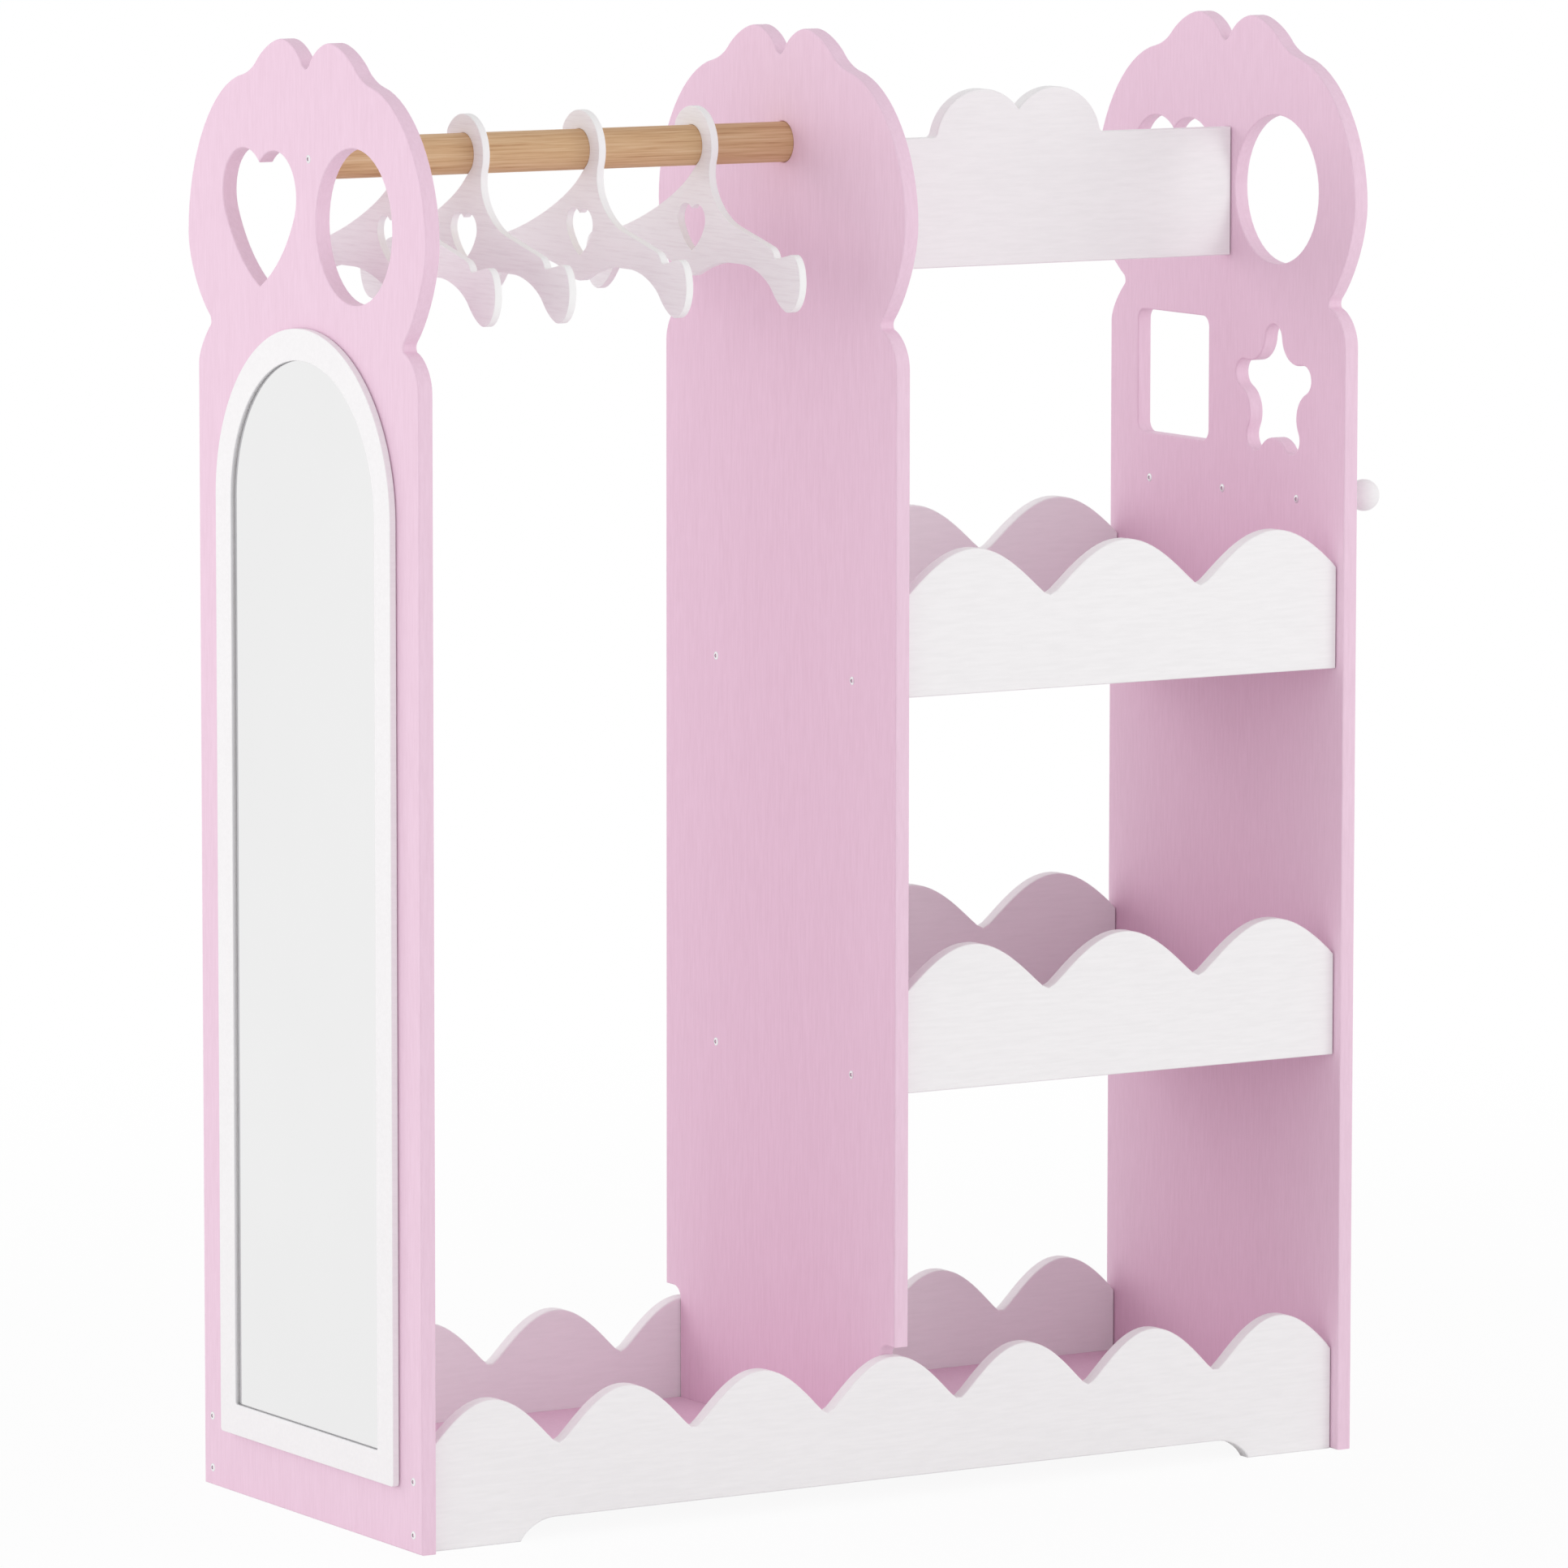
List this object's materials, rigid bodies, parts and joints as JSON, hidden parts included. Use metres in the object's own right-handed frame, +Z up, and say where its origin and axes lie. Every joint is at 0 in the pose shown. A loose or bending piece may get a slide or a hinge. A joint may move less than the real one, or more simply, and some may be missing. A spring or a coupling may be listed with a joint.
{
  "type": "dress up storage unit with mirror",
  "caption": "Child's dress-up storage unit: hanging bay with rod and hangers, shelf bay with scalloped trays, arched mirror on one side panel and coat pegs on the other.",
  "frame": {"origin": "on the floor, midway along the whole unit, mirror frame and pegs included, and under the middle of the straight sides of its panels", "axes": "+X from the mirror side to the peg side, +Y from the front to the back, +Z up"},
  "size_m": [0.8756, 0.3564, 1.0815],
  "materials": {
    "pink_board": "painted fibreboard, satin",
    "white_board": "painted fibreboard, satin",
    "mirror": "polished mirror sheet",
    "rod_wood": "turned wood, clear satin lacquer",
    "hanger_plywood": "whitewashed plywood",
    "steel": "nickel plated",
    "dowel_wood": "raw beech"
  },
  "bodies": {
    "unit": {"left_panel": "pink_board", "middle_panel": "pink_board", "right_panel": "pink_board", "mirror_frame": "white_board", "mirror_sheet": "mirror", "front_base_board": "white_board", "back_base_board": "white_board", "left_floor": "pink_board", "right_floor": "pink_board", "lower_shelf": "pink_board", "lower_shelf_front": "white_board", "lower_shelf_back": "white_board", "upper_shelf": "pink_board", "upper_shelf_front": "white_board", "upper_shelf_back": "white_board", "top_board": "white_board", "hanging_rod": "rod_wood", "coat_peg_front": "white_board", "coat_peg_middle": "white_board", "coat_peg_back": "white_board", "rod_screw": "steel", "base_screws": "steel", "shelf_screws": "steel", "peg_screws": "steel", "floor_dowels": "dowel_wood", "shelf_dowels": "dowel_wood", "top_board_dowels": "dowel_wood"},
    "hanger_1": {"hanger_1": "hanger_plywood"},
    "hanger_2": {"hanger_2": "hanger_plywood"},
    "hanger_3": {"hanger_3": "hanger_plywood"},
    "hanger_4": {"hanger_4": "hanger_plywood"}
  },
  "joints": [
    {"name": "hanger_1_swing", "type": "hinge", "parent": "unit", "child": "hanger_1", "pos_m": [-0.3618, -0.0045, 0.9966], "axis": [1, 0, 0], "range_deg": [-60, 40]},
    {"name": "hanger_2_swing", "type": "hinge", "parent": "unit", "child": "hanger_2", "pos_m": [-0.3005, -0.0045, 0.9966], "axis": [1, 0, 0], "range_deg": [-60, 40]},
    {"name": "hanger_3_swing", "type": "hinge", "parent": "unit", "child": "hanger_3", "pos_m": [-0.203, -0.0045, 0.9966], "axis": [1, 0, 0], "range_deg": [-60, 40]},
    {"name": "hanger_4_swing", "type": "hinge", "parent": "unit", "child": "hanger_4", "pos_m": [-0.1073, -0.0045, 0.9966], "axis": [1, 0, 0], "range_deg": [-60, 40]}
  ]
}
